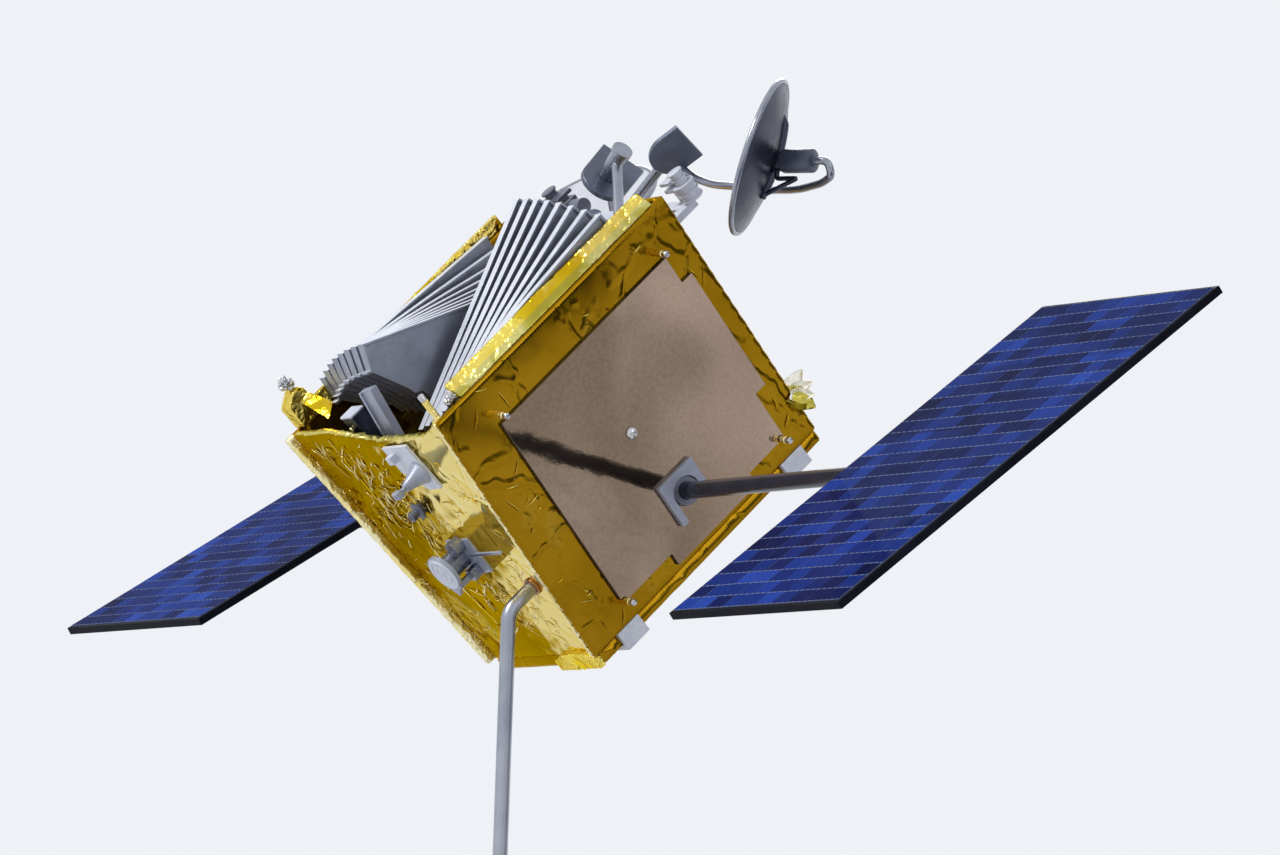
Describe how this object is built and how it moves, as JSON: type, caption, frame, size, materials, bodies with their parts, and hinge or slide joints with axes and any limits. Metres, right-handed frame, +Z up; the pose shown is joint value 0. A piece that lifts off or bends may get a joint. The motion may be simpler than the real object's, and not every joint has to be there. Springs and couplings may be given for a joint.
{
  "type": "scale model satellite on a rod stand",
  "caption": "Display model of a small communications satellite with foil covered bus, fanned blade antennas, turning solar wings and gimballed dishes, pitched on a bent rod stand.",
  "frame": {"origin": "centre of the round base underside, on the upright rod axis", "axes": "+Z up along the upright rod, +X along the wings towards the near wing, +Y from the front plate side towards the back"},
  "size_m": [0.64, 0.2444, 0.4637],
  "materials": {
    "base": "satin",
    "black_edge": "satin",
    "cells": "gloss",
    "foil": "gloss",
    "printed_grey": "satin",
    "printed_white": "satin",
    "radiator": "satin",
    "steel": "satin"
  },
  "bodies": {
    "root": {"antenna_beam": "printed_white", "arm_hold_far": "printed_grey", "arm_hold_near": "printed_grey", "back_panel": "foil", "blade_far_1": "printed_grey", "blade_far_2": "printed_grey", "blade_far_3": "printed_grey", "blade_far_4": "printed_grey", "blade_far_5": "printed_grey", "blade_far_6": "printed_grey", "blade_far_7": "printed_grey", "blade_far_8": "printed_grey", "blade_near_1": "printed_grey", "blade_near_2": "printed_grey", "blade_near_3": "printed_grey", "blade_near_4": "printed_grey", "blade_near_5": "printed_grey", "blade_near_6": "printed_grey", "blade_near_7": "printed_grey", "blade_near_8": "printed_grey", "boom_bushing_far": "steel", "boom_bushing_near": "steel", "boom_plate_far": "printed_grey", "boom_plate_near": "printed_grey", "cavity_latch": "printed_grey", "cavity_stay": "printed_grey", "corner_block": "foil", "corner_wrap": "foil", "earth_deck": "black_edge", "edge_rail_far": "foil", "edge_rail_near": "foil", "front_panel": "foil", "front_valve": "printed_grey", "gimbal_mount_far": "printed_grey", "gimbal_mount_near": "printed_grey", "radiator_far": "radiator", "radiator_near": "radiator", "rod_socket": "steel", "side_panel_far": "foil", "side_panel_near": "foil", "side_pins_far": "steel", "side_pins_near": "steel", "stand_base": "base", "stand_rod": "steel", "thruster": "printed_grey", "thruster_bracket": "printed_grey", "tracker_horn": "printed_grey", "tracker_plate": "printed_white", "zenith_brackets": "printed_white", "zenith_panel": "foil"},
    "wing_near": {"wing_boom_near": "printed_grey", "wing_panel_near": "black_edge", "cell_sheet_near": "cells"},
    "wing_far": {"wing_boom_far": "printed_grey", "wing_panel_far": "black_edge", "cell_sheet_far": "cells"},
    "arm_near": {"gimbal_arm_near": "printed_grey"},
    "arm_far": {"gimbal_arm_far": "printed_grey"},
    "dish_near": {"dish_near": "printed_grey"},
    "dish_far": {"dish_far": "printed_grey"}
  },
  "joints": [
    {"name": "wing_near", "type": "hinge", "parent": "root", "child": "wing_near", "pos_m": [0.026, 0.06859, 0.30362], "axis": [1, 0, 0], "continuous": true},
    {"name": "wing_far", "type": "hinge", "parent": "root", "child": "wing_far", "pos_m": [-0.094, 0.06859, 0.30362], "axis": [1, 0, 0], "continuous": true},
    {"name": "arm_near", "type": "hinge", "parent": "root", "child": "arm_near", "pos_m": [-0.0025, 0.07276, 0.43507], "axis": [-0.7612, 0.0417, 0.6472], "range_deg": [-5, 56]},
    {"name": "arm_far", "type": "hinge", "parent": "root", "child": "arm_far", "pos_m": [-0.0655, 0.07276, 0.43507], "axis": [0.7612, 0.0417, 0.6472], "range_deg": [-5, 56]},
    {"name": "dish_near", "type": "hinge", "parent": "arm_near", "child": "dish_near", "pos_m": [0.08685, 0.06896, 0.43062], "axis": [0.8829, 0.4693, -0.0134], "range_deg": [-15, 15]},
    {"name": "dish_far", "type": "hinge", "parent": "arm_far", "child": "dish_far", "pos_m": [-0.15323, 0.11846, 0.42553], "axis": [-0.5057, 0.7212, -0.4733], "range_deg": [-15, 15]}
  ]
}
